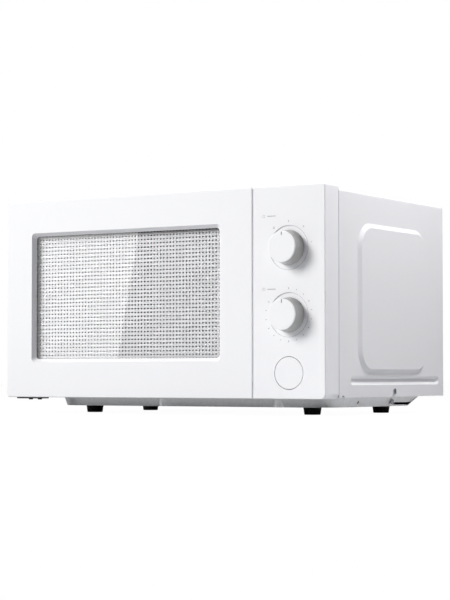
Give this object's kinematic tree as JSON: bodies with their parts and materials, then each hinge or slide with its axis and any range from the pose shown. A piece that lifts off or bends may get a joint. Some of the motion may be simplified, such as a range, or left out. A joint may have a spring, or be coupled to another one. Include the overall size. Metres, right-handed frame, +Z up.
{
  "type": "microwave oven",
  "caption": "Countertop microwave oven with a side-hinged window door, two turning knobs, a round release button, glass turntable and its working parts.",
  "frame": {"origin": "middle of the footprint on the surface that the feet stand on", "axes": "+Z up, the door and knobs face -Y, the control panel is on the +X side"},
  "size_m": [0.4568, 0.3222, 0.2613],
  "materials": {
    "painted_steel": "satin white powder coat",
    "galvanised_steel": "bright galvanised sheet",
    "enamelled_steel": "light grey cavity enamel",
    "mica": "flaky mica sheet",
    "aluminium_fins": "stamped aluminium and steel",
    "core_steel": "laminated electrical steel",
    "copper_wire": "enamelled copper wire",
    "can_steel": "plated can",
    "black_plastic": "moulded, fine texture",
    "circuit_board": "board with blocks",
    "inner_plastic": "moulded, uncoloured",
    "lamp_glass": "clear bulb",
    "tray_glass": "tempered clear glass",
    "white_plastic": "fine satin moulding",
    "door_glass": "clear pane",
    "screen_steel": "white coated perforated sheet",
    "clear_film": "thin clear film",
    "cover_plastic": "moulded light grey",
    "spring_steel": "bright wire and turned rod",
    "black_steel": "dark coated steel",
    "black_rubber": "moulded rubber",
    "chrome_screws": "plated screws"
  },
  "bodies": {
    "cabinet": {"outer_case": "painted_steel", "rear_plate": "galvanised_steel", "front_plate": "enamelled_steel", "base_plate": "galvanised_steel", "cavity_wrap": "enamelled_steel", "cavity_floor": "enamelled_steel", "cavity_rear": "enamelled_steel", "waveguide": "galvanised_steel", "waveguide_cover": "mica", "magnetron": "aluminium_fins", "thermostat": "black_plastic", "air_guide": "inner_plastic", "transformer_core": "core_steel", "transformer_windings": "copper_wire", "capacitor": "can_steel", "capacitor_clamp": "galvanised_steel", "diode": "black_plastic", "filter_board": "circuit_board", "fan_shroud": "inner_plastic", "fan_motor": "core_steel", "lamp_holder": "galvanised_steel", "lamp_bulb": "lamp_glass", "turntable_motor": "can_steel", "upper_hinge": "galvanised_steel", "lower_hinge": "black_steel", "hinge_screws": "black_steel", "control_panel": "white_plastic", "timer_unit": "can_steel", "power_unit": "can_steel", "button_spring": "spring_steel", "latch_holder": "inner_plastic", "microswitches": "black_plastic", "foot_front_left": "black_rubber", "foot_front_right": "black_rubber", "foot_rear_left": "black_rubber", "foot_rear_right": "black_rubber", "cord_inlet_bush": "black_plastic", "case_screws": "chrome_screws", "side_screws": "chrome_screws", "pan_screws": "chrome_screws"},
    "door": {"door_frame": "white_plastic", "door_window": "door_glass", "door_screen": "screen_steel", "door_film": "clear_film", "door_cover": "cover_plastic", "latch_spring": "spring_steel"},
    "latch": {"latch_hooks": "inner_plastic"},
    "button": {"release_button": "white_plastic"},
    "lever": {"release_lever": "inner_plastic"},
    "power_control": {"power_knob": "white_plastic", "power_shaft": "spring_steel"},
    "timer_control": {"timer_knob": "white_plastic", "timer_shaft": "spring_steel"},
    "turntable": {"glass_tray": "tray_glass", "drive_coupler": "inner_plastic"},
    "ring": {"roller_ring": "inner_plastic"},
    "wheel_1": {"roller_wheel_1": "inner_plastic"},
    "wheel_2": {"roller_wheel_2": "inner_plastic"},
    "wheel_3": {"roller_wheel_3": "inner_plastic"},
    "fan": {"fan_blade": "inner_plastic"}
  },
  "joints": [
    {"name": "door_swing", "type": "hinge", "parent": "cabinet", "child": "door", "pos_m": [-0.217, -0.12105, 0.14035], "axis": [0, 0, -1], "range_deg": [0, 95]},
    {"name": "latch_lift", "type": "slide", "parent": "door", "child": "latch", "axis": [0, 0, 1], "range_m": [0, 0.0032], "stiffness_N_per_m": 200, "springref_m": -0.001, "deforming": ["latch_spring"]},
    {"name": "button_press", "type": "slide", "parent": "cabinet", "child": "button", "axis": [0, 1, 0], "range_m": [0, 0.004], "stiffness_N_per_m": 600, "springref_m": -0.001, "deforming": ["button_spring"]},
    {"name": "lever_tip", "type": "hinge", "parent": "cabinet", "child": "lever", "pos_m": [0.178, -0.10285, 0.0749], "axis": [1, 0, 0], "range_deg": [0, 12.5]},
    {"name": "power_turn", "type": "hinge", "parent": "cabinet", "child": "power_control", "pos_m": [0.178, -0.14455, 0.1904], "axis": [0, 1, 0], "range_deg": [-40, 160]},
    {"name": "timer_turn", "type": "hinge", "parent": "cabinet", "child": "timer_control", "pos_m": [0.178, -0.14455, 0.1144], "axis": [0, 1, 0], "range_deg": [0, 300]},
    {"name": "tray_turn", "type": "hinge", "parent": "cabinet", "child": "turntable", "pos_m": [-0.05, 0.01665, 0.0374], "axis": [0, 0, 1], "continuous": true},
    {"name": "ring_turn", "type": "hinge", "parent": "cabinet", "child": "ring", "pos_m": [-0.05, 0.01665, 0.0454], "axis": [0, 0, 1], "continuous": true},
    {"name": "wheel_1_roll", "type": "hinge", "parent": "ring", "child": "wheel_1", "pos_m": [-0.05, 0.10915, 0.0454], "axis": [0, 1, 0], "continuous": true},
    {"name": "wheel_2_roll", "type": "hinge", "parent": "ring", "child": "wheel_2", "pos_m": [-0.13011, -0.0296, 0.0454], "axis": [-0.866, -0.5, 0], "continuous": true},
    {"name": "wheel_3_roll", "type": "hinge", "parent": "ring", "child": "wheel_3", "pos_m": [0.03011, -0.0296, 0.0454], "axis": [0.866, -0.5, 0], "continuous": true},
    {"name": "fan_spin", "type": "hinge", "parent": "cabinet", "child": "fan", "pos_m": [0.167, 0.11205, 0.1774], "axis": [0, 1, 0], "continuous": true}
  ],
  "couplings": [
    {"joint": "latch_lift", "follows": "button_press", "ratio": 0.75},
    {"joint": "lever_tip", "follows": "button_press", "rad_per_m": 50},
    {"joint": "ring_turn", "follows": "tray_turn", "ratio": 0.5},
    {"joint": "wheel_1_roll", "follows": "tray_turn", "ratio": -5.7812},
    {"joint": "wheel_2_roll", "follows": "tray_turn", "ratio": -5.7812},
    {"joint": "wheel_3_roll", "follows": "tray_turn", "ratio": -5.7812}
  ]
}
